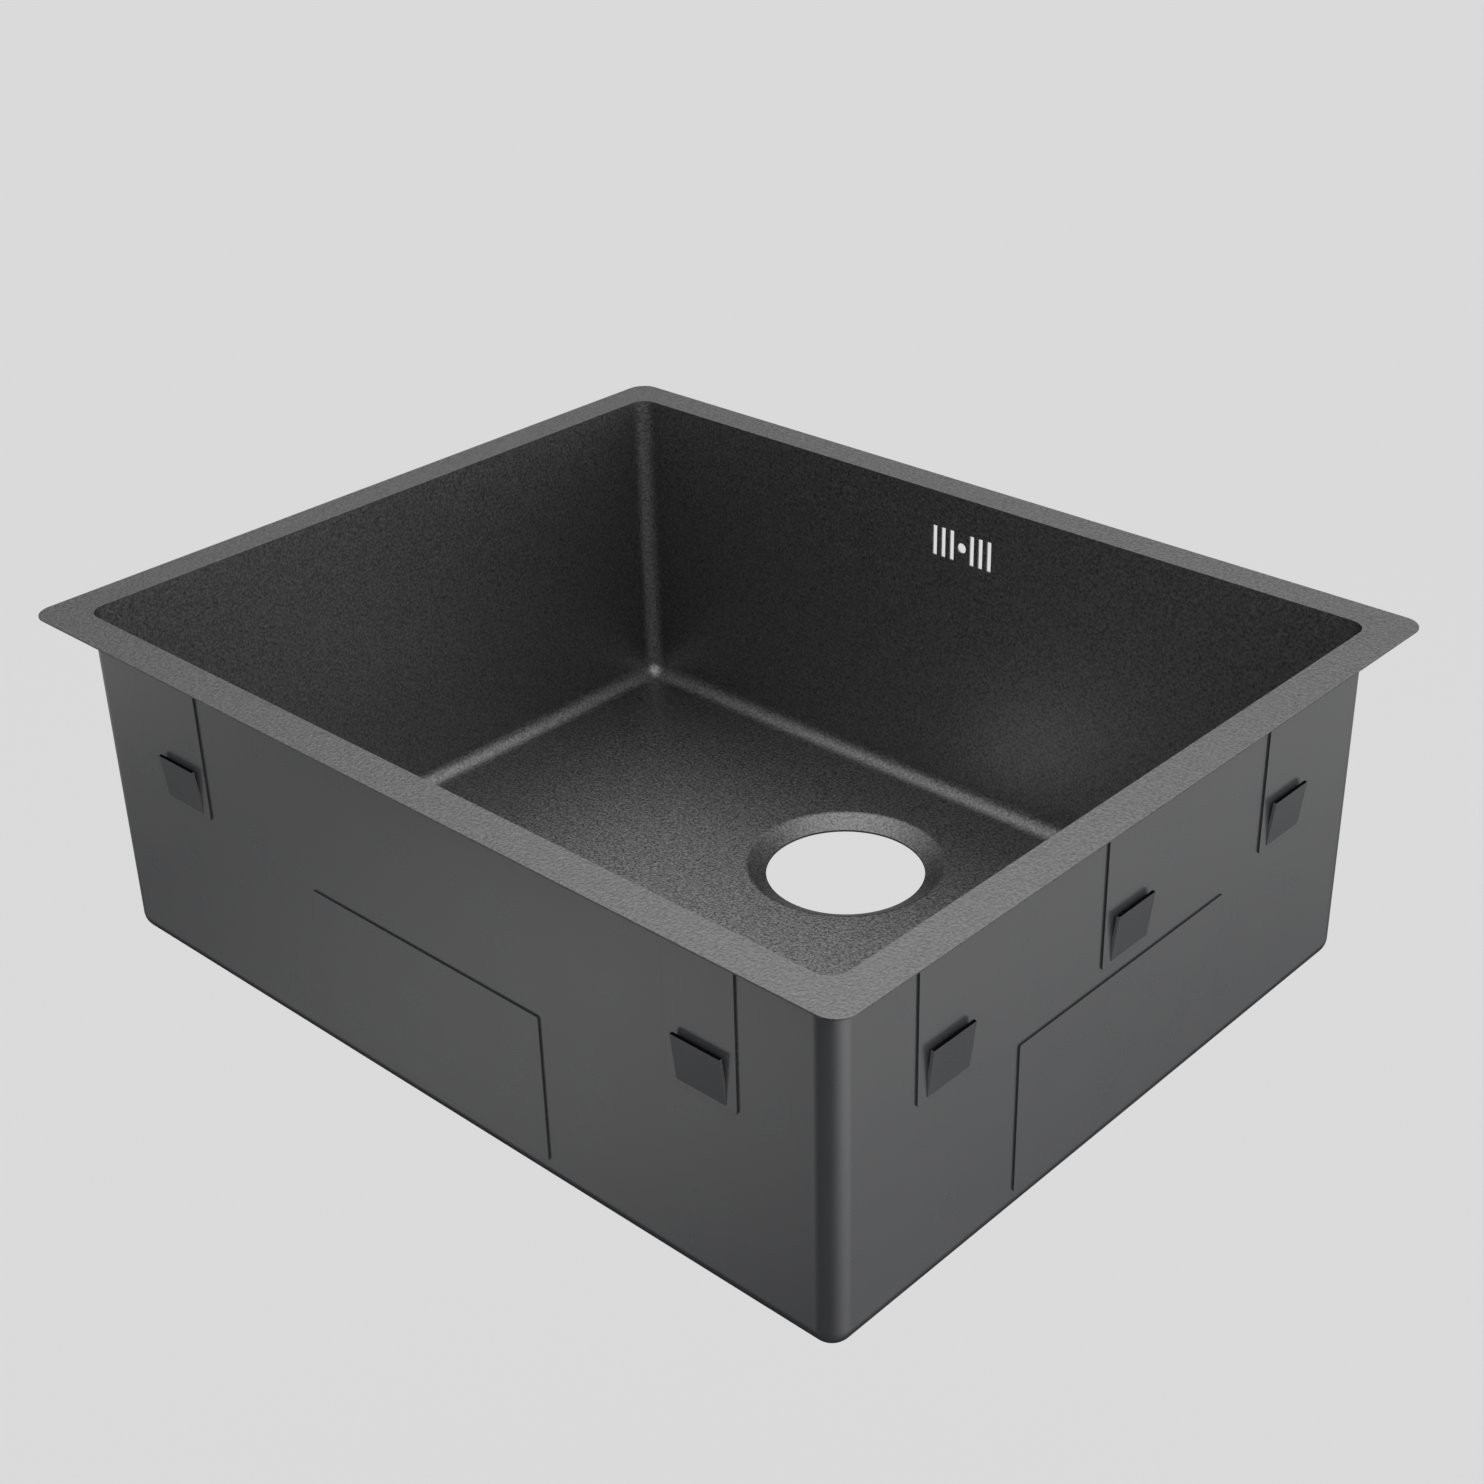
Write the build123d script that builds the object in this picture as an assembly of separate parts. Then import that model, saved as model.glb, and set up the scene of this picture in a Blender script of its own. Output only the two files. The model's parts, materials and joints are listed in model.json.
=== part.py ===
from build123d import *
import os
from math import sqrt

# Undermount kitchen sink: a welded sheet-steel bowl with a flat rim to fix under a worktop,
# ten hanger plates with a tab welded on each for the worktop clips, and sound-deadening pads.
# Millimetres. The origin is the centre of the rim's top face, X runs along the long walls,
# +Y points at the overflow wall and +Z is up.

# Bowl, inside sizes
BOWL_LENGTH = 500.0
BOWL_WIDTH = 400.0
CORNER_RADIUS = 10.0
SHEET = 1.0

# Rim top to the underside of the base
SINK_DEPTH = 190.0

# Rim
RIM_WIDTH = 20.0
RIM_SHEET = 1.0
RIM_CORNER_RADIUS = 11.0

# Drain, with its pressed dish
DRAIN_DIAMETER = 90.0
DRAIN_FROM_BACK = 100.0
DISH_DIAMETER = 112.0
DISH_DEPTH = 6.0
DISH_BEND_RADIUS = 4.0

# Overflow: a screw hole with upright slots on both sides
OVERFLOW_DROP = 30.0
OVERFLOW_HOLE = 6.0
SLOT_WIDTH = 3.0
SLOT_HEIGHT = 18.0
SLOT_OFFSET = 7.0
SLOT_PITCH = 6.0
SLOTS_PER_SIDE = 3

# Hanger plates
HANGER_WIDTH = 40.0
HANGER_DROP = 88.0
HANGER_SHEET = 1.0
HANGER_CORNER_RADIUS = 2.0
HANGER_INSET = 70.0

# Clip tabs, which lean outwards from a root ground flat on the plate to an open upper edge
TAB_WIDTH = 28.0
TAB_LENGTH = 24.6
TAB_SHEET = 1.7
TAB_LIFT = 3.0
TAB_ROOT_EDGE = 0.3
TAB_MARGIN = 2.5

# Sound-deadening pads
PAD_LENGTH = 160.0
PAD_THICKNESS = 1.0
PAD_CORNER_RADIUS = 1.5
PAD_GAP_TO_HANGER = 7.5
PAD_GAP_TO_BASE_BEND = 3.5
BASE_PAD_WIDTH = 80.0
BASE_PAD_SPACING = 20.0

# Places that follow from the sizes
bowl_top = -RIM_SHEET
base_underside = -SINK_DEPTH
floor_top = base_underside + SHEET
outer_radius = CORNER_RADIUS + SHEET
outer_length = BOWL_LENGTH + 2 * SHEET
outer_width = BOWL_WIDTH + 2 * SHEET
drain_y = BOWL_WIDTH / 2 - DRAIN_FROM_BACK
long_station = BOWL_LENGTH / 2 - HANGER_INSET
short_station = BOWL_WIDTH / 2 - HANGER_INSET

# The walls by quarter turns about Z from the front one: how far each wall's outer face is from
# the centre, and its hangers with their places along the wall
walls = [
    ("front", outer_width / 2, {"left": -long_station, "right": long_station}),
    ("right", outer_length / 2, {"front": -short_station, "middle": 0, "back": short_station}),
    ("back", outer_width / 2, {"right": -long_station, "left": long_station}),
    ("left", outer_length / 2, {"back": -short_station, "middle": 0, "front": short_station}),
]


def rounded_block(length, width, top, bottom, radius):
    """Block with its upright edges and its base edges rounded, meeting in ball corners."""
    block = Pos(0, 0, (top + bottom) / 2) * Box(length, width, top - bottom)
    upright_edges = block.edges().filter_by(Axis.Z)
    base_edges = block.faces().sort_by(Axis.Z)[0].edges()
    return fillet(upright_edges + base_edges, radius)


def drain_dish():
    """Ring of sheet that bends down from the floor and slopes to the drain hole."""
    mid_sheet = floor_top - SHEET / 2
    rim_radius = DISH_DIAMETER / 2
    hole_radius = DRAIN_DIAMETER / 2
    slope = DISH_DEPTH / (rim_radius - hole_radius)
    tip_radius = hole_radius - SHEET
    path = FilletPolyline(
        (rim_radius + DISH_BEND_RADIUS, mid_sheet),
        (rim_radius, mid_sheet),
        (tip_radius, mid_sheet - slope * (rim_radius - tip_radius)),
        radius=DISH_BEND_RADIUS,
    )
    ring = revolve(Plane.XZ * trace(path, SHEET), Axis.Z)
    hole = Pos(0, 0, floor_top) * Cylinder(hole_radius, 4 * (DISH_DEPTH + SHEET))
    return ring - hole


def overflow_cut():
    """Screw hole and slots, as one tool that passes through the back wall."""
    outline = Sketch() + Circle(OVERFLOW_HOLE / 2)
    for side in (-1, 1):
        for count in range(SLOTS_PER_SIDE):
            along = side * (SLOT_OFFSET + count * SLOT_PITCH)
            outline += Pos(along, 0) * Rectangle(SLOT_WIDTH, SLOT_HEIGHT)
    start = Plane((0, BOWL_WIDTH / 2 - SHEET, -OVERFLOW_DROP), x_dir=(1, 0, 0), z_dir=(0, 1, 0))
    return extrude(start * outline, 3 * SHEET)


def bowl():
    """Open bowl of one sheet, with the drain dish pressed into its base."""
    outside = rounded_block(outer_length, outer_width, bowl_top, base_underside, outer_radius)
    inside = rounded_block(BOWL_LENGTH, BOWL_WIDTH, bowl_top + SHEET, floor_top, CORNER_RADIUS)
    dish_edge = DISH_DIAMETER / 2 + DISH_BEND_RADIUS
    dish_cut = Pos(0, drain_y, floor_top) * Cylinder(dish_edge, 4 * SHEET)
    dish = Pos(0, drain_y, 0) * drain_dish()
    return outside - inside - dish_cut + dish - overflow_cut()


def rim():
    """Flat frame welded on the bowl's upper edge, flush with the inside of the walls."""
    outline = RectangleRounded(BOWL_LENGTH + 2 * RIM_WIDTH, BOWL_WIDTH + 2 * RIM_WIDTH, RIM_CORNER_RADIUS)
    opening = RectangleRounded(BOWL_LENGTH, BOWL_WIDTH, CORNER_RADIUS)
    return Pos(0, 0, -RIM_SHEET) * extrude(outline - opening, RIM_SHEET)


def hanger():
    """Hanger plate standing on the XZ plane with its outside to -Y, its top under the rim."""
    bottom = -HANGER_DROP
    plate = Pos(0, (bowl_top + bottom) / 2) * Rectangle(HANGER_WIDTH, bowl_top - bottom)
    plate = fillet(plate.vertices().group_by(Axis.Y)[0], HANGER_CORNER_RADIUS)
    return extrude(Plane.XZ * plate, HANGER_SHEET)


def clip_tab():
    """Tab on the outside of a hanger plate that stands on the XZ plane."""
    root = -HANGER_DROP + TAB_MARGIN
    root_out = HANGER_SHEET + TAB_ROOT_EDGE
    rise = sqrt(TAB_LENGTH**2 - TAB_LIFT**2)
    front_top = (root_out + TAB_LIFT, root + rise)
    back_top = (
        front_top[0] - TAB_SHEET * rise / TAB_LENGTH,
        front_top[1] + TAB_SHEET * TAB_LIFT / TAB_LENGTH,
    )
    back_foot = back_top[1] - (back_top[0] - HANGER_SHEET) * rise / TAB_LIFT
    # Seen from the side, with the outward way as the profile's own X
    side_view = Plane((0, 0, 0), x_dir=(0, -1, 0), z_dir=(-1, 0, 0))
    profile = Polygon(
        (HANGER_SHEET, root),
        (root_out, root),
        front_top,
        back_top,
        (HANGER_SHEET, back_foot),
        align=None,
    )
    return extrude(side_view * profile, TAB_WIDTH / 2, both=True)


def wall_pad():
    """Pad on the XZ plane with its outside to -Y, between the hangers and the base's bend."""
    top = -(HANGER_DROP + PAD_GAP_TO_HANGER)
    bottom = base_underside + outer_radius + PAD_GAP_TO_BASE_BEND
    outline = RectangleRounded(PAD_LENGTH, top - bottom, PAD_CORNER_RADIUS)
    return extrude(Plane.XZ * Pos(0, (top + bottom) / 2) * outline, PAD_THICKNESS)


def base_pad(side):
    """Pad under the base, midway between the front wall's bend and the drain dish."""
    front_bend = -BOWL_WIDTH / 2 + CORNER_RADIUS
    dish_front = drain_y - DISH_DIAMETER / 2 - DISH_BEND_RADIUS
    along = side * (PAD_LENGTH + BASE_PAD_SPACING) / 2
    outline = RectangleRounded(PAD_LENGTH, BASE_PAD_WIDTH, PAD_CORNER_RADIUS)
    place = Pos(along, (front_bend + dish_front) / 2, base_underside - PAD_THICKNESS)
    return place * extrude(outline, PAD_THICKNESS)


def on_wall(piece, quarter, reach, along=0):
    """Copy of a piece made against the XZ plane, put on the outer face of a wall."""
    return Rot(0, 0, quarter * 90) * Pos(along, -reach, 0) * piece


one_hanger = hanger()
one_tab = clip_tab()
one_wall_pad = wall_pad()
pieces = {"bowl": bowl(), "rim": rim()}
for quarter, (wall, reach, stations) in enumerate(walls):
    for place, along in stations.items():
        pieces[f"hanger_{wall}_{place}"] = on_wall(one_hanger, quarter, reach, along)
        pieces[f"clip_tab_{wall}_{place}"] = on_wall(one_tab, quarter, reach, along)
    pieces[f"sound_pad_{wall}"] = on_wall(one_wall_pad, quarter, reach)
pieces["sound_pad_base_left"] = base_pad(-1)
pieces["sound_pad_base_right"] = base_pad(1)

os.makedirs("parts", exist_ok=True)
for name, piece in pieces.items():
    export_step(piece, f"parts/{name}.step")
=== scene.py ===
import json
from math import asin, atan2, cos, pi, radians, tan

import bmesh
import bpy
from mathutils import Matrix, Vector


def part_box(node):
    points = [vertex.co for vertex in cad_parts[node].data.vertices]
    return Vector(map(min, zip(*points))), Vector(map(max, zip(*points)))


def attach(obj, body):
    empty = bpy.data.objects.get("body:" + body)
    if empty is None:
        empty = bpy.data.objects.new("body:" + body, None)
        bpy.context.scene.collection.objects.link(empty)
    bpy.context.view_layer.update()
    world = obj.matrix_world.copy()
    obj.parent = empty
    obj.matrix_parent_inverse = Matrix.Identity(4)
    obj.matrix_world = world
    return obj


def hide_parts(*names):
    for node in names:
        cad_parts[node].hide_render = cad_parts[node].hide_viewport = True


# Dark steel undermount sink. Metres, in the frame of the CAD model: the origin is the centre of
# the rim's top face, +X runs along the long walls, +Y points at the overflow wall, +Z is up.
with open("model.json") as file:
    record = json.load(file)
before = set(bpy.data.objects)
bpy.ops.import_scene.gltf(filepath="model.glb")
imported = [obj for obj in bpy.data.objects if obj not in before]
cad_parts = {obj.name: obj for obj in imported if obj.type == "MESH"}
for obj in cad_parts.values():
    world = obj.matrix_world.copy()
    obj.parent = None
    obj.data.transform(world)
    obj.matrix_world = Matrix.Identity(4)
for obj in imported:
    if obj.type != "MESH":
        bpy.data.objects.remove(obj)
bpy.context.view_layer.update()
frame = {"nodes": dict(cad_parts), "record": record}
mounts = {mount["name"]: mount for mount in frame["record"]["mounts"]}

# Sheet and bend sizes of the sink
SHEET = 0.001
SINK_DEPTH = 0.190
CORNER_RADIUS = 0.010
RIM_CORNER_RADIUS = 0.011
CORNER_SEGMENTS = 14
RIM_EDGE_ROUND = 0.0002
RIM_EDGE_SEGMENTS = 3

# Drain dish
DISH_RADIUS = 0.056
DISH_DEPTH = 0.006
DISH_BEND_RADIUS = 0.004
DISH_STEPS = 128
BEND_SEGMENTS = 6

# Overflow slots and the screw hole between them
SLOT_WIDTH = 0.003
SLOT_HEIGHT = 0.018
SLOT_OFFSET = 0.007
SLOT_PITCH = 0.006
SLOTS_PER_SIDE = 3
SCREW_HOLE_STEPS = 48

# Length of the cutters that go through the sheet
CUT_LENGTH = 6 * SHEET

# Hanger plates and the tabs on them
HANGER_CORNER_RADIUS = 0.002
HANGER_EDGE_ROUND = 0.00015
TAB_LENGTH = 0.0246
TAB_LIFT = 0.0030
TAB_SHEET = 0.0017
TAB_ROOT_EDGE = 0.0003
TAB_EDGE_ROUND = 0.0001

# Sound pads
PAD_CORNER_RADIUS = 0.0015
PAD_EDGE_ROUND = 0.0002

# Corners of plates and pads, and the rounding and shading of edges by the angle between their faces
SMALL_CORNER_SEGMENTS = 6
SOFT_EDGE_SEGMENTS = 2
SOFTEN_ANGLE = radians(40)
SHARP_ANGLE = radians(35)
FLAT_FACE_WEIGHT = 100

# Distance within which two places are one, and the wider one within which the dish joins the tub
SAME_PLACE = 1e-6
SEAM = 2e-6

# Parts of a face's normal: along Z, over which the face is level and under which it is upright,
# and along any axis, over which the face looks that way
LEVEL = 0.99
UPRIGHT = 0.1
FACING = 0.5

# Noise: its usual detail and roughness, the range that most of it fills, and its turn, so that no
# flat face lies along the noise's own grid, where it is weak
NOISE_DETAIL = 2
NOISE_ROUGHNESS = 0.5
NOISE_RANGE = (0.3, 0.7)
NOISE_TURN = (0.5, 0.6, 0.7)

# Sand finish of the rim and of the inside: its grain in features per metre, and how far the
# grain sets its tone apart on each surface
SAND_COLOUR = (0.206, 0.2045, 0.205)
SAND_EDGE_TINT = (0.5, 0.5, 0.5, 1)
SAND_ROUGHNESS = (0.40, 0.50)
SAND_GRAIN = 680
SAND_GRAIN_ROUGHNESS = 0.6
SAND_BUMP = 0.00024
FLOOR_CONTRAST = 0.55
WALL_CONTRAST = 0.42
RIM_CONTRAST = 0.22

# Smooth coat outside: two tones that differ a little, with clouds of so many features per metre
COAT_DARK = (0.0382, 0.0395, 0.0429)
COAT_LIGHT = (0.0399, 0.0412, 0.0445)
COAT_ROUGHNESS = (0.27, 0.29)
COAT_IOR = 2.2
COAT_CLOUDS = 40
COAT_CLOUD_DETAIL = 3

# Matt faces, each speckled between two grey levels, and the specks in features per metre. The edges
# of sheet and rubber are painted near black, partly their bare colour and partly painted shade along
# the gap at each edge. The tabs' tops are painted black as painted shadow, their sides lighter grey as
# painted light, and their backs near white, so that their reflection in the plate paints light into
# the shade above each tab.
EDGE_AND_SHADE_LEVELS = (0.015, 0.029)
TAB_TOP_SHADE_LEVELS = (0.003, 0.007)
TAB_SIDE_LIGHT_LEVELS = (0.075, 0.10)
TAB_BACK_LIGHT_LEVELS = (0.72, 0.80)
MATT_ROUGHNESS = (0.6, 0.8)
MATT_GLOSS = 0.5
TAB_TOP_GLOSS = 0.0
MATT_SPECKS = 1500

# Plates and tabs are made against the XZ plane, where the plates are thin along Y, and are then
# turned about Z from the front wall to their own wall
PLATE_AXIS = 1
WALL_TURNS = {"front": 0.0, "right": pi / 2, "back": pi, "left": -pi / 2}

# Camera, solved from the straight edges in the photograph
CAMERA_PLACE = (0.71126, -0.73303, 0.48894)
CAMERA_AZIMUTH = radians(43.459)
CAMERA_ELEVATION = radians(28.705)
CAMERA_ROLL = radians(-1.453)
CAMERA_LENS = 55.18
CAMERA_CLIP = (0.01, 100)
SENSOR = 36.0

# Stage
BACKGROUND = 0.70
FLOOR_DROP = 1.6
FLOOR_HALF = 14.0
FLOOR_EVEN_SHARE = 0.5
FLOOR_COLOUR = (0.63, 0.63, 0.63, 1)

# Soft shade and light on the floor, which only reflections show: each spot's place, the radii at
# which its fade begins and ends, and its level
UNDER_SHADE = ((0.0, 0.0), 1.60, 5.0, 0.0)
FRONT_SHADE = ((0.20, -1.70), 1.50, 4.0, 0.0)
RIGHT_GLOW = ((3.60, 0.87), 0.0, 3.58, 1.06)
LEFT_GLOW = ((-1.49, -1.88), 0.0, 1.32, 0.59)

# Share of the plain background that the glowing disc in the drain hole adds to reflections inside the
# bowl, a painted reflection of light through the hole
DRAIN_GLOW_SHARE = 0.5

# Studio dome that lights the sink: its colour, its level at the horizon and its rise along X, Y and Z
DOME_COLOUR = (1, 1, 1, 1)
DOME_LEVEL = 0.458
DOME_RISE = (0.584, 0.0, 0.98)

# Soft square lamp high behind the left back corner, turned to the middle of the rim
LAMP_PLACE = (-0.83, 0.92, 1.82)
LAMP_AIM = (0, 0, 0)
LAMP_SIDE = 1.2
LAMP_POWER = 4.9

# Places that follow from the frame and the sizes. The record gives radii in millimetres.
MM_PER_METRE = 1000
bowl_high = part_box("bowl")[1]
rim_low, rim_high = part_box("rim")
bowl_top = bowl_high.z
floor_top = -SINK_DEPTH + SHEET
inside_x = bowl_high.x - SHEET
inside_y = bowl_high.y - SHEET
dish_reach = DISH_RADIUS + DISH_BEND_RADIUS
drain = Vector(mounts["drain_hole"]["pos_m"])
drain_radius = mounts["drain_hole"]["dims"]["r_mm"] / MM_PER_METRE
overflow = Vector(mounts["overflow_screw_hole"]["pos_m"])
overflow_radius = mounts["overflow_screw_hole"]["dims"]["r_mm"] / MM_PER_METRE

# Point in the bowl's hollow, from which its inner faces are told from its outer ones
bowl_hollow = Vector((0, 0, -SINK_DEPTH / 3))


# Modelling helpers

def deselect():
    """Leave no object selected, so that the next operator acts only on what it adds."""
    bpy.ops.object.select_all(action="DESELECT")


def only(piece):
    """Select this piece alone and make it the active one."""
    deselect()
    piece.select_set(True)
    bpy.context.view_layer.objects.active = piece


def settle(piece):
    """Put the piece's place, turn and scale into its mesh."""
    only(piece)
    bpy.ops.object.transform_apply(location=True, rotation=True, scale=True)


def new_piece(name):
    """The primitive that was just added, named and settled."""
    piece = bpy.context.active_object
    piece.name = name
    piece.data.name = name
    settle(piece)
    return piece


def add_block(name, low, high):
    """Box between two corners."""
    low, high = Vector(low), Vector(high)
    deselect()
    bpy.ops.mesh.primitive_cube_add(size=1, location=(low + high) / 2, scale=high - low)
    return new_piece(name)


def add_rod(name, centre, radius, length, turn=(0, 0, 0), vertices=DISH_STEPS):
    """Cylinder round its centre, upright unless it is turned."""
    deselect()
    bpy.ops.mesh.primitive_cylinder_add(
        vertices=vertices, radius=radius, depth=length, location=centre, rotation=turn
    )
    return new_piece(name)


def edit(piece, kind):
    """Enter edit mode with nothing selected."""
    only(piece)
    bpy.ops.object.mode_set(mode="EDIT")
    bpy.ops.mesh.select_mode(type=kind)
    bpy.ops.mesh.select_all(action="DESELECT")


def leave_edit():
    """Go back to object mode."""
    bpy.ops.object.mode_set(mode="OBJECT")


def pick(piece, kind, test):
    """Select the points, edges or faces that pass the test, in edit mode."""
    mesh = bmesh.from_edit_mesh(piece.data)
    elements = {"VERT": mesh.verts, "EDGE": mesh.edges, "FACE": mesh.faces}[kind]
    for element in elements:
        if test(element):
            element.select_set(True)
    mesh.select_flush_mode()
    bmesh.update_edit_mesh(piece.data)


def pick_points(piece, test):
    """Select the points whose place passes the test."""
    pick(piece, "VERT", lambda point: test(point.co))


def pick_edges(piece, test):
    """Select the edges whose two ends pass the test together."""
    pick(piece, "EDGE", lambda edge: test(edge.verts[0].co, edge.verts[1].co))


def pick_faces(piece, test):
    """Select the faces whose centre and normal pass the test together."""
    pick(piece, "FACE", lambda face: test(face.calc_center_median(), face.normal))


def round_picked(reach, segments, kind="EDGES"):
    """Round the picked edges or points, from this far on each side of them."""
    bpy.ops.mesh.bevel(offset=reach, segments=segments, affect=kind)


def merge_points(distance):
    """Merge all points of the piece in edit mode that lie within a distance."""
    bpy.ops.mesh.select_all(action="SELECT")
    bpy.ops.mesh.remove_doubles(threshold=distance)


def finish_with(piece, kind, **settings):
    """Add a modifier to the piece and apply it."""
    modifier = piece.modifiers.new(kind.lower(), kind)
    for key, value in settings.items():
        setattr(modifier, key, value)
    only(piece)
    bpy.ops.object.modifier_apply(modifier=modifier.name)


def cut(piece, cutter):
    """Cut a piece with a cutter, and drop the cutter."""
    finish_with(piece, "BOOLEAN", operation="DIFFERENCE", object=cutter, solver="EXACT")
    bpy.data.objects.remove(cutter)


def join(piece, *others):
    """Join other meshes into the piece."""
    only(piece)
    for other in others:
        other.select_set(True)
    bpy.ops.object.join()


def smooth(piece):
    """Smooth shading that keeps sharp edges and leaves flat faces flat."""
    only(piece)
    bpy.ops.object.shade_smooth_by_angle(angle=SHARP_ANGLE)
    finish_with(piece, "WEIGHTED_NORMAL", mode="FACE_AREA", weight=FLAT_FACE_WEIGHT, keep_sharp=True)


def soften(piece, width):
    """Round off the sharp edges of a piece a little."""
    finish_with(
        piece,
        "BEVEL",
        width=width,
        segments=SOFT_EDGE_SEGMENTS,
        limit_method="ANGLE",
        angle_limit=SOFTEN_ANGLE,
    )
    smooth(piece)


def round_uprights(piece, radius):
    """Round the four upright edges of a block."""
    edit(piece, "EDGE")
    pick_edges(piece, lambda start, end: (start.xy - end.xy).length < SAME_PLACE)
    round_picked(radius, CORNER_SEGMENTS)
    leave_edit()


def thin_axis(low, high):
    """The axis along which a box is thinnest."""
    size = high - low
    return min(range(3), key=lambda axis: size[axis])


def fit_to(piece, node):
    """The finished piece stands for a CAD node, whose part it hides, and rides on the sink."""
    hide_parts(node)
    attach(piece, "root")


# Pieces

def drain_dish():
    """Sloping ring of sheet round the drain hole, open at its outer edge, spun from its section."""
    slope = atan2(DISH_DEPTH, DISH_RADIUS - drain_radius)
    mid_sheet = floor_top - SHEET / 2
    lip_half = SHEET / 2 / cos(slope)
    corner_shift = SHEET / 2 * tan(slope / 2)
    section = [
        (dish_reach, floor_top),
        (DISH_RADIUS - corner_shift, floor_top),
        (drain_radius, mid_sheet - DISH_DEPTH + lip_half),
        (drain_radius, mid_sheet - DISH_DEPTH - lip_half),
        (DISH_RADIUS + corner_shift, floor_top - SHEET),
        (dish_reach, floor_top - SHEET),
    ]
    upper_bend = (section[1], DISH_BEND_RADIUS + SHEET / 2)
    lower_bend = (section[4], DISH_BEND_RADIUS - SHEET / 2)

    deselect()
    bpy.ops.mesh.primitive_plane_add(size=SHEET, location=(0, 0, 0))
    dish = new_piece("drain_dish")
    edit(dish, "VERT")
    bpy.ops.mesh.select_all(action="SELECT")
    bpy.ops.mesh.delete(type="VERT")
    mesh = bmesh.from_edit_mesh(dish.data)
    corners = [mesh.verts.new((drain.x + reach, drain.y, height)) for reach, height in section]
    for first, second in zip(corners, corners[1:]):
        mesh.edges.new((first, second))
    bmesh.update_edit_mesh(dish.data)
    for (reach, height), radius in (upper_bend, lower_bend):
        corner = Vector((drain.x + reach, drain.y, height))
        bpy.ops.mesh.select_all(action="DESELECT")
        pick_points(dish, lambda place: (place - corner).length < SAME_PLACE)
        round_picked(radius * tan(slope / 2), BEND_SEGMENTS, "VERTICES")
    bpy.ops.mesh.select_all(action="SELECT")
    bpy.ops.mesh.spin(
        steps=DISH_STEPS, angle=2 * pi, center=(drain.x, drain.y, 0), axis=(0, 0, 1), use_auto_merge=True
    )
    merge_points(SAME_PLACE)
    leave_edit()
    return dish


def overflow_cutter():
    """Screw hole and slots as one cutter through the back wall."""
    cutter = add_rod(
        "overflow_cutter", overflow, overflow_radius, CUT_LENGTH, (pi / 2, 0, 0), SCREW_HOLE_STEPS
    )
    half = Vector((SLOT_WIDTH / 2, CUT_LENGTH / 2, SLOT_HEIGHT / 2))
    slots = []
    for side in (-1, 1):
        for count in range(SLOTS_PER_SIDE):
            along = side * (SLOT_OFFSET + count * SLOT_PITCH)
            middle = overflow + Vector((along, 0, 0))
            slots.append(add_block("slot", middle - half, middle + half))
    join(cutter, *slots)
    return cutter


def in_dish_cut(centre, normal):
    """Whether a face of the tub is the upright wall left where the dish goes in."""
    at_ring = abs((centre.xy - drain.xy).length - dish_reach) < SHEET / 2
    return at_ring and abs(normal.z) < UPRIGHT and centre.z < floor_top


def bowl():
    """The tub: an inside block with rounded edges, thickened outwards, cut and given its dish."""
    tub = add_block("sink_bowl", (-inside_x, -inside_y, floor_top), (inside_x, inside_y, bowl_top))
    edit(tub, "FACE")
    pick_faces(tub, lambda centre, normal: normal.z > LEVEL)
    bpy.ops.mesh.delete(type="FACE")
    bpy.ops.mesh.select_mode(type="EDGE")
    pick_edges(tub, lambda start, end: min(start.z, end.z) < floor_top + SAME_PLACE)
    round_picked(CORNER_RADIUS, CORNER_SEGMENTS)
    leave_edit()
    finish_with(tub, "SOLIDIFY", thickness=SHEET, offset=1, use_even_offset=True, use_quality_normals=True)

    cut(tub, add_rod("dish_cutter", (drain.x, drain.y, floor_top), dish_reach, CUT_LENGTH))
    cut(tub, overflow_cutter())
    edit(tub, "FACE")
    pick_faces(tub, in_dish_cut)
    bpy.ops.mesh.delete(type="FACE")
    leave_edit()
    join(tub, drain_dish())
    edit(tub, "VERT")
    merge_points(SEAM)
    bpy.ops.mesh.normals_make_consistent(inside=False)
    leave_edit()
    smooth(tub)
    return tub


def rim():
    """Flat frame with rounded corners and softened outer edges."""
    plate = add_block("sink_rim", rim_low, rim_high)
    round_uprights(plate, RIM_CORNER_RADIUS)
    edit(plate, "EDGE")
    pick_edges(plate, lambda start, end: abs(start.z - end.z) < SAME_PLACE)
    round_picked(RIM_EDGE_ROUND, RIM_EDGE_SEGMENTS)
    leave_edit()
    opening = add_block("opening", (-inside_x, -inside_y, -SINK_DEPTH), (inside_x, inside_y, SINK_DEPTH))
    round_uprights(opening, CORNER_RADIUS)
    cut(plate, opening)
    smooth(plate)
    return plate


def hanger():
    """One hanger plate against the XZ plane, its outside to -Y."""
    low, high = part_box("hanger_front_right")
    half_width = (high.x - low.x) / 2
    plate = add_block("hanger", (-half_width, low.y - high.y, low.z), (half_width, 0, high.z))
    edit(plate, "EDGE")
    pick_edges(
        plate,
        lambda start, end: max(start.z, end.z) < low.z + SAME_PLACE and abs(start.x - end.x) < SAME_PLACE,
    )
    round_picked(HANGER_CORNER_RADIUS, SMALL_CORNER_SEGMENTS)
    leave_edit()
    soften(plate, HANGER_EDGE_ROUND)
    return plate


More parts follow.
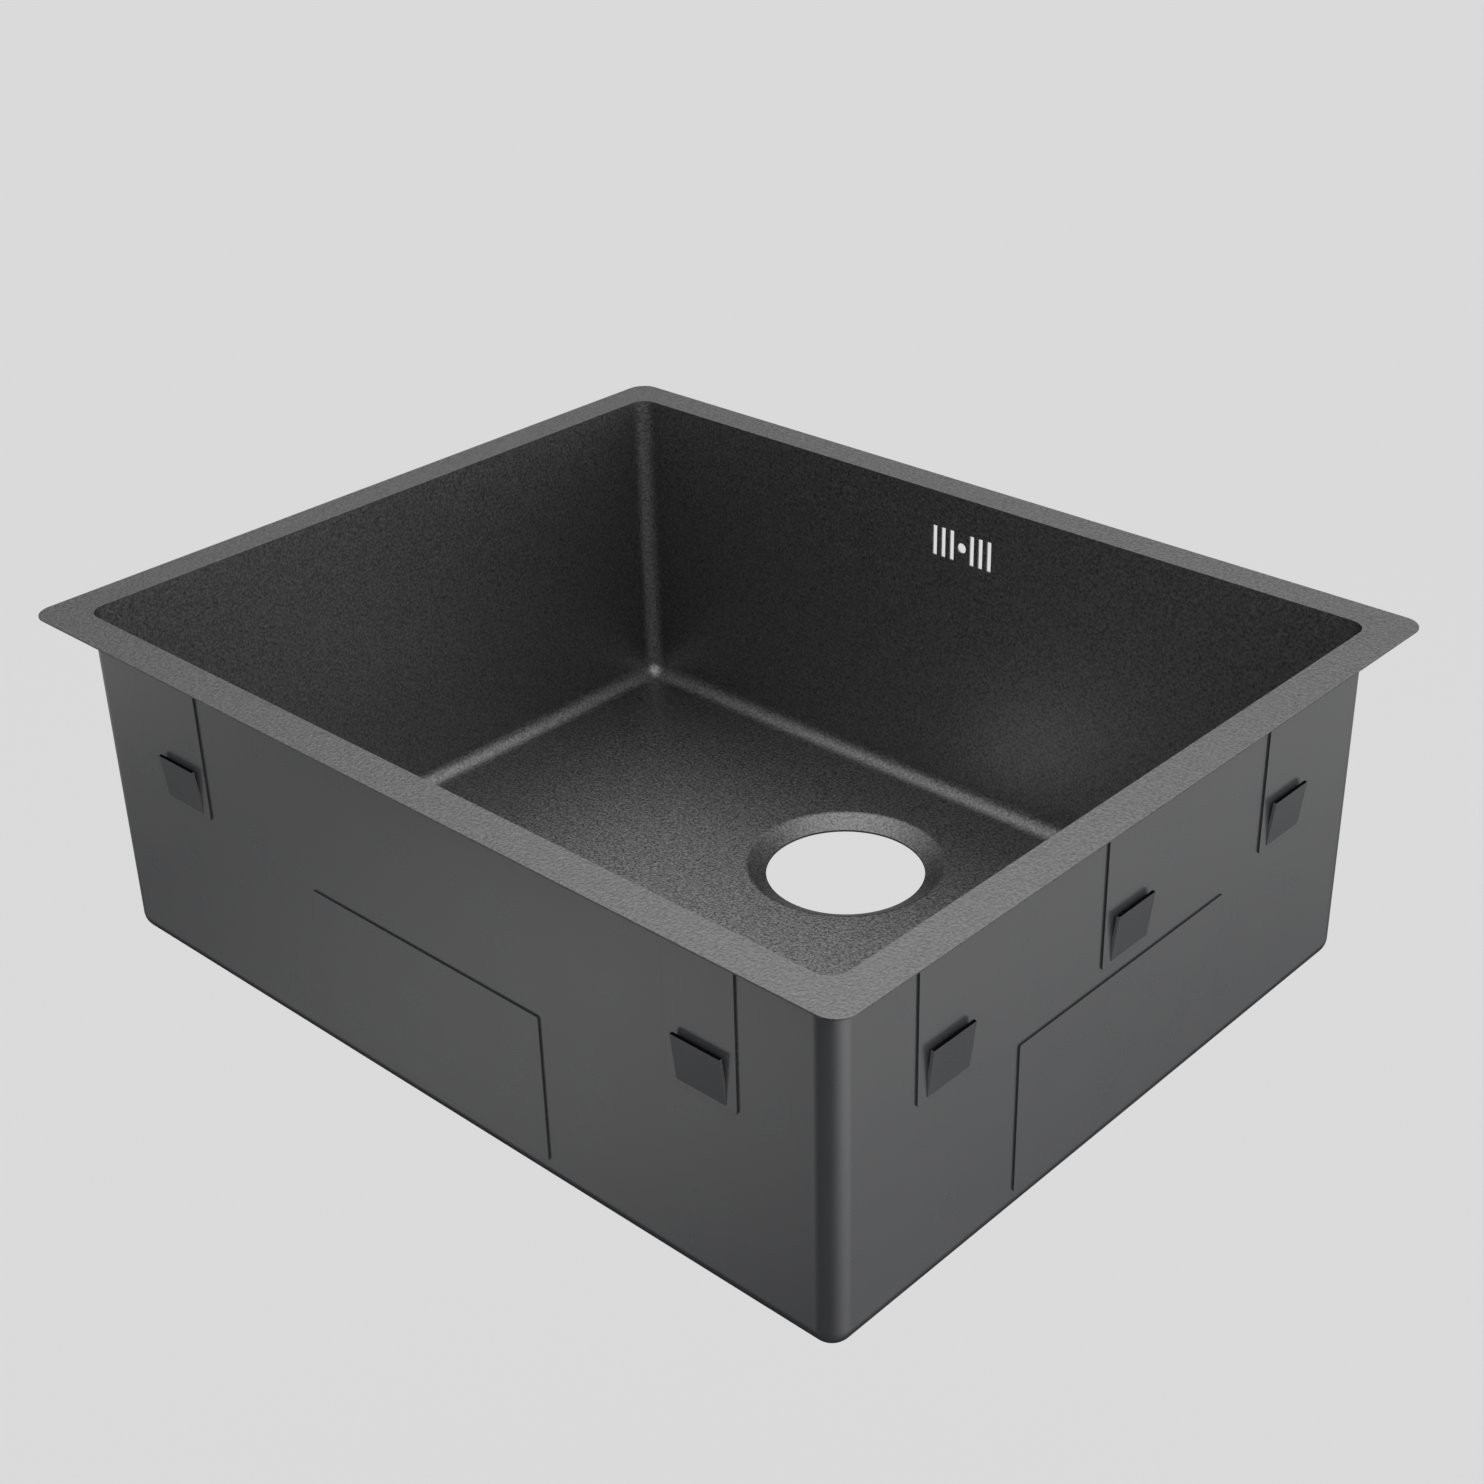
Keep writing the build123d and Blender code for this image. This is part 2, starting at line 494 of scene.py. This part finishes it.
def clip_tab():
    """One clip tab for a plate against the XZ plane: a strip leaned outwards, cut flat at its root."""
    low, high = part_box("clip_tab_front_right")
    half_width = (high.x - low.x) / 2
    root = low.z
    plate_face = high.y + bowl_high.y
    front = plate_face - TAB_ROOT_EDGE
    tab = add_block(
        "tab", (-half_width, front, root - TAB_LENGTH), (half_width, front + TAB_SHEET, root + TAB_LENGTH)
    )
    edit(tab, "FACE")
    bpy.ops.mesh.select_all(action="SELECT")
    bpy.ops.transform.rotate(
        value=-asin(TAB_LIFT / TAB_LENGTH), orient_axis="X", center_override=(0, front, root)
    )
    for place, beyond in (((0, plate_face, 0), (0, 1, 0)), ((0, 0, root), (0, 0, -1))):
        bpy.ops.mesh.select_all(action="SELECT")
        bpy.ops.mesh.bisect(plane_co=place, plane_no=beyond, use_fill=True, clear_outer=True)
    bpy.ops.mesh.select_all(action="SELECT")
    bpy.ops.mesh.normals_make_consistent(inside=False)
    leave_edit()
    soften(tab, TAB_EDGE_ROUND)
    return tab


def pad(name, low, high):
    """Rubber pad as a thin block with rounded corners and softened edges."""
    block = add_block(name, low, high)
    thin = thin_axis(low, high)
    thickness = high[thin] - low[thin]
    edit(block, "EDGE")
    pick_edges(block, lambda start, end: abs(abs(start[thin] - end[thin]) - thickness) < SAME_PLACE)
    round_picked(PAD_CORNER_RADIUS, SMALL_CORNER_SEGMENTS)
    leave_edit()
    soften(block, PAD_EDGE_ROUND)
    return block


def copy_to_walls(first, stem, new_stem):
    """Put a copy of a piece made against the XZ plane at each CAD node of its kind."""
    for node in sorted(name for name in frame["nodes"] if name.startswith(stem)):
        wall = node.removeprefix(stem).split("_")[0]
        low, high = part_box(node)
        turn = Matrix.Rotation(WALL_TURNS[wall], 4, "Z")
        along = (turn.inverted() @ ((low + high) / 2)).x
        reach = bowl_high.y if wall in ("front", "back") else bowl_high.x
        copy = first.copy()
        copy.data = first.data.copy()
        copy.name = node.replace(stem, new_stem)
        bpy.context.collection.objects.link(copy)
        copy.data.transform(turn @ Matrix.Translation((along, -reach, 0)))
        fit_to(copy, node)
    bpy.data.objects.remove(first)


# Materials

def new_material(name):
    """New material, with its node tree and its shader."""
    material = bpy.data.materials.new(name)
    material.use_nodes = True
    return material, material.node_tree, material.node_tree.nodes["Principled BSDF"]


def noise(tree, scale, detail=NOISE_DETAIL, roughness=NOISE_ROUGHNESS):
    """Noise over the piece's own coordinates, in features per metre."""
    place = tree.nodes.new("ShaderNodeTexCoord")
    turned = tree.nodes.new("ShaderNodeMapping")
    turned.inputs["Rotation"].default_value = NOISE_TURN
    texture = tree.nodes.new("ShaderNodeTexNoise")
    texture.inputs["Scale"].default_value = scale
    texture.inputs["Detail"].default_value = detail
    texture.inputs["Roughness"].default_value = roughness
    tree.links.new(place.outputs["Object"], turned.inputs["Vector"])
    tree.links.new(turned.outputs["Vector"], texture.inputs["Vector"])
    return texture.outputs["Fac"]


def spread(tree, value, low, high):
    """Map a noise value onto a range."""
    node = tree.nodes.new("ShaderNodeMapRange")
    node.inputs["From Min"].default_value = NOISE_RANGE[0]
    node.inputs["From Max"].default_value = NOISE_RANGE[1]
    node.inputs["To Min"].default_value = low
    node.inputs["To Max"].default_value = high
    tree.links.new(value, node.inputs["Value"])
    return node.outputs["Result"]


def tint(tree, value, dark, light):
    """Colour between two tones by a value from 0 to 1."""
    node = tree.nodes.new("ShaderNodeMix")
    node.data_type = "RGBA"
    node.inputs["A"].default_value = (*dark, 1)
    node.inputs["B"].default_value = (*light, 1)
    tree.links.new(value, node.inputs["Factor"])
    return node.outputs["Result"]


def vary(tree, shader, grain, dark, light, roughness):
    """Let a noise vary a finish between two tones and between two roughnesses."""
    tree.links.new(tint(tree, spread(tree, grain, 0, 1), dark, light), shader.inputs["Base Color"])
    tree.links.new(spread(tree, grain, *roughness), shader.inputs["Roughness"])


def bump(tree, shader, height, distance):
    """Raise the surface by a height value, as far as the distance."""
    node = tree.nodes.new("ShaderNodeBump")
    node.inputs["Distance"].default_value = distance
    tree.links.new(height, node.inputs["Height"])
    tree.links.new(node.outputs["Normal"], shader.inputs["Normal"])


def sand_steel(name, contrast):
    """Dark vapour-coated steel with a fine sand texture, on the rim and inside the bowl."""
    material, tree, shader = new_material(name)
    shader.inputs["Metallic"].default_value = 1.0
    shader.inputs["Specular Tint"].default_value = SAND_EDGE_TINT
    grain = noise(tree, SAND_GRAIN, roughness=SAND_GRAIN_ROUGHNESS)
    dark = [(1 - contrast) * level for level in SAND_COLOUR]
    light = [(1 + contrast) * level for level in SAND_COLOUR]
    vary(tree, shader, grain, dark, light, SAND_ROUGHNESS)
    bump(tree, shader, grain, SAND_BUMP)
    return material


def grey_coat(name):
    """Smooth dark grey coat on the outside of the bowl, the hangers, the tabs and the pads."""
    material, tree, shader = new_material(name)
    shader.inputs["IOR"].default_value = COAT_IOR
    clouds = noise(tree, COAT_CLOUDS, COAT_CLOUD_DETAIL)
    vary(tree, shader, clouds, COAT_DARK, COAT_LIGHT, COAT_ROUGHNESS)
    return material


def matt_finish(name, levels, gloss=MATT_GLOSS):
    """Matt finish speckled between two grey levels, for the dark edges and for the tabs' painted shade and
    light.
    """
    material, tree, shader = new_material(name)
    shader.inputs["Specular IOR Level"].default_value = gloss
    dark, light = [(level, level, level) for level in levels]
    vary(tree, shader, noise(tree, MATT_SPECKS), dark, light, MATT_ROUGHNESS)
    return material


def paint(piece, materials, choose):
    """Give each face the material that choose names by its centre and normal."""
    for material in materials:
        piece.data.materials.append(material)
    for face in piece.data.polygons:
        face.material_index = choose(face.center, face.normal)


def bowl_finish(centre, normal):
    """Finish of the bowl's faces: floor, inner walls and bends, outside, or the drain hole's edge, painted
    dark, partly as painted shade.
    """
    at_drain = (centre.xy - drain.xy).length < drain_radius + SHEET / 2
    if at_drain and abs(normal.z) < UPRIGHT:
        return 3
    if normal.dot(centre - bowl_hollow) > 0:
        return 2
    return 0 if normal.z > LEVEL else 1


def tab_finish(centre, normal):
    """Finish of a tab's faces: front and root, top in painted shadow, sides in painted light, or the back
    that faces the plate, painted near white so that its reflection paints light above the tab.
    """
    if normal.z > FACING:
        return 1
    if abs(normal.x) > FACING:
        return 2
    return 3 if normal.y > FACING else 0


def sheet_finish(axis):
    """Finish of a plate or pad that is thin along this axis: its two faces, or its edges, painted dark,
    partly as painted shade.
    """
    return lambda centre, normal: 0 if abs(normal[axis]) > FACING else 1


# Build the sink

floor_sand = sand_steel("floor_sand_steel", FLOOR_CONTRAST)
wall_sand = sand_steel("wall_sand_steel", WALL_CONTRAST)
rim_sand = sand_steel("rim_sand_steel", RIM_CONTRAST)
coat = grey_coat("grey_coat")
# Edges are painted near black, partly as painted shade. Tabs' tops are painted shadow, and their sides and
# backs are painted light.
edge_and_gap_shade = matt_finish("edge_and_gap_shade", EDGE_AND_SHADE_LEVELS)
tab_top_shade = matt_finish("tab_top_shade", TAB_TOP_SHADE_LEVELS, TAB_TOP_GLOSS)
tab_side_light = matt_finish("tab_side_light", TAB_SIDE_LIGHT_LEVELS)
tab_back_light = matt_finish("tab_back_light", TAB_BACK_LIGHT_LEVELS)

sink_bowl = bowl()
paint(sink_bowl, (floor_sand, wall_sand, coat, edge_and_gap_shade), bowl_finish)
fit_to(sink_bowl, "bowl")

sink_rim = rim()
paint(sink_rim, (rim_sand,), lambda centre, normal: 0)
fit_to(sink_rim, "rim")

first_hanger = hanger()
paint(first_hanger, (coat, edge_and_gap_shade), sheet_finish(PLATE_AXIS))
copy_to_walls(first_hanger, "hanger_", "hanger_plate_")

first_tab = clip_tab()
paint(first_tab, (coat, tab_top_shade, tab_side_light, tab_back_light), tab_finish)
copy_to_walls(first_tab, "clip_tab_", "clip_strip_")

for node in sorted(name for name in frame["nodes"] if name.startswith("sound_pad_")):
    low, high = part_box(node)
    piece = pad(node.replace("sound_pad", "rubber_pad"), low, high)
    paint(piece, (coat, edge_and_gap_shade), sheet_finish(thin_axis(low, high)))
    fit_to(piece, node)


# Stage

def calculate(tree, kind, first, second):
    """Math node on two values, each a socket or a number."""
    node = tree.nodes.new("ShaderNodeMath")
    node.operation = kind
    for socket, value in zip(node.inputs, (first, second)):
        if isinstance(value, float):
            socket.default_value = value
        else:
            tree.links.new(value, socket)
    return node.outputs[0]


def plain_rays(tree, paths):
    """1 for rays from the camera and through glass, to which the surroundings are plain."""
    return calculate(tree, "MAXIMUM", paths.outputs["Is Camera Ray"], paths.outputs["Is Transmission Ray"])


def mix_surface(tree, share, first, second):
    """Make the surface one shader, with a share of a second one."""
    mix = tree.nodes.new("ShaderNodeMixShader")
    tree.links.new(share, mix.inputs["Fac"])
    tree.links.new(first.outputs[0], mix.inputs[1])
    tree.links.new(second.outputs[0], mix.inputs[2])
    tree.links.new(mix.outputs[0], tree.nodes["Material Output"].inputs["Surface"])


def soft_spot(tree, spot, edge_level):
    """Value that goes smoothly from the spot's level in its middle to another level at its edge."""
    centre, inner, radius, level = spot
    place = tree.nodes.new("ShaderNodeTexCoord")
    mapping = tree.nodes.new("ShaderNodeMapping")
    mapping.vector_type = "TEXTURE"
    mapping.inputs["Location"].default_value = (*centre, -FLOOR_DROP)
    mapping.inputs["Scale"].default_value = (radius, radius, radius)
    gradient = tree.nodes.new("ShaderNodeTexGradient")
    gradient.gradient_type = "SPHERICAL"
    fade = tree.nodes.new("ShaderNodeMapRange")
    fade.interpolation_type = "SMOOTHSTEP"
    fade.inputs["From Max"].default_value = 1 - inner / radius
    fade.inputs["To Min"].default_value = edge_level
    fade.inputs["To Max"].default_value = level
    tree.links.new(place.outputs["Object"], mapping.inputs["Vector"])
    tree.links.new(mapping.outputs["Vector"], gradient.inputs["Vector"])
    tree.links.new(gradient.outputs["Fac"], fade.inputs["Value"])
    return fade.outputs["Result"]


def stage_floor():
    """Pale floor well below the sink, partly even and partly lit to the camera, shaded in reflections."""
    deselect()
    bpy.ops.mesh.primitive_plane_add(size=2 * FLOOR_HALF, location=(0, 0, -FLOOR_DROP))
    floor = new_piece("floor")
    material, tree, shader = new_material("pale_floor")
    tree.nodes.remove(shader)
    paths = tree.nodes.new("ShaderNodeLightPath")
    glossy_ray = paths.outputs["Is Glossy Ray"]
    plain_ray = plain_rays(tree, paths)
    under_shade = soft_spot(tree, UNDER_SHADE, 1.0)
    front_shade = soft_spot(tree, FRONT_SHADE, 1.0)
    shade = calculate(tree, "MULTIPLY", under_shade, front_shade)
    light = calculate(tree, "ADD", soft_spot(tree, RIGHT_GLOW, 0.0), soft_spot(tree, LEFT_GLOW, 0.0))
    reflected = calculate(tree, "ADD", calculate(tree, "MULTIPLY", shade, BACKGROUND), light)
    seen_plain = calculate(tree, "MULTIPLY", plain_ray, BACKGROUND)
    seen_reflected = calculate(tree, "MULTIPLY", reflected, glossy_ray)
    glow = tree.nodes.new("ShaderNodeEmission")
    tree.links.new(calculate(tree, "ADD", seen_plain, seen_reflected), glow.inputs["Strength"])
    matt = tree.nodes.new("ShaderNodeBsdfDiffuse")
    matt.inputs["Color"].default_value = FLOOR_COLOUR
    even_share = calculate(tree, "MULTIPLY", plain_ray, FLOOR_EVEN_SHARE)
    mix_surface(tree, calculate(tree, "MAXIMUM", even_share, glossy_ray), matt, glow)
    floor.data.materials.append(material)


def drain_glow():
    """Glowing disc in the drain hole that only reflections inside the bowl see, as the plain background: a
    painted reflection of light through the hole.
    """
    deselect()
    bpy.ops.mesh.primitive_circle_add(
        vertices=DISH_STEPS, radius=drain_radius, fill_type="NGON", location=drain
    )
    disc = new_piece("drain_glow")
    material, tree, shader = new_material("drain_glow")
    tree.nodes.remove(shader)
    material.cycles.emission_sampling = "NONE"
    paths = tree.nodes.new("ShaderNodeLightPath")
    side = tree.nodes.new("ShaderNodeNewGeometry")
    clear = tree.nodes.new("ShaderNodeBsdfTransparent")
    glow = tree.nodes.new("ShaderNodeEmission")
    glow.inputs["Strength"].default_value = BACKGROUND
    from_above = calculate(tree, "SUBTRACT", 1.0, side.outputs["Backfacing"])
    reflected = calculate(tree, "MULTIPLY", from_above, paths.outputs["Is Glossy Ray"])
    mix_surface(tree, calculate(tree, "MULTIPLY", reflected, DRAIN_GLOW_SHARE), clear, glow)
    disc.data.materials.append(material)


def studio_dome():
    """Plain pale surroundings to the camera, and a soft dome that is brighter overhead as the light."""
    world = bpy.data.worlds.new("studio")
    bpy.context.scene.world = world
    world.use_nodes = True
    tree = world.node_tree
    paths = tree.nodes.new("ShaderNodeLightPath")
    place = tree.nodes.new("ShaderNodeTexCoord")
    rise = tree.nodes.new("ShaderNodeVectorMath")
    rise.operation = "DOT_PRODUCT"
    rise.inputs[1].default_value = DOME_RISE
    tree.links.new(place.outputs["Generated"], rise.inputs[0])
    dome = calculate(tree, "MAXIMUM", calculate(tree, "ADD", rise.outputs["Value"], DOME_LEVEL), 0.0)
    level = tree.nodes.new("ShaderNodeMix")
    level.inputs["B"].default_value = BACKGROUND
    tree.links.new(plain_rays(tree, paths), level.inputs["Factor"])
    tree.links.new(dome, level.inputs["A"])
    sky = tree.nodes["Background"]
    sky.inputs["Color"].default_value = DOME_COLOUR
    tree.links.new(level.outputs["Result"], sky.inputs["Strength"])


def back_lamp():
    """Square studio lamp, turned towards its aim."""
    data = bpy.data.lights.new("back_lamp", "AREA")
    data.shape = "SQUARE"
    data.size = LAMP_SIDE
    data.energy = LAMP_POWER
    lamp = bpy.data.objects.new("back_lamp", data)
    bpy.context.collection.objects.link(lamp)
    lamp.location = LAMP_PLACE
    lamp.rotation_euler = (Vector(LAMP_AIM) - Vector(LAMP_PLACE)).to_track_quat("-Z", "Y").to_euler()


def camera():
    """Camera of the photograph."""
    data = bpy.data.cameras.new("camera")
    data.lens = CAMERA_LENS
    data.sensor_width = SENSOR
    data.clip_start, data.clip_end = CAMERA_CLIP
    eye = bpy.data.objects.new("camera", data)
    bpy.context.collection.objects.link(eye)
    turn = (
        Matrix.Rotation(CAMERA_AZIMUTH, 4, "Z")
        @ Matrix.Rotation(pi / 2 - CAMERA_ELEVATION, 4, "X")
        @ Matrix.Rotation(CAMERA_ROLL, 4, "Z")
    )
    eye.matrix_world = Matrix.Translation(CAMERA_PLACE) @ turn
    bpy.context.scene.camera = eye


stage_floor()
drain_glow()
studio_dome()
back_lamp()
camera()
bpy.context.scene.view_settings.view_transform = "Standard"
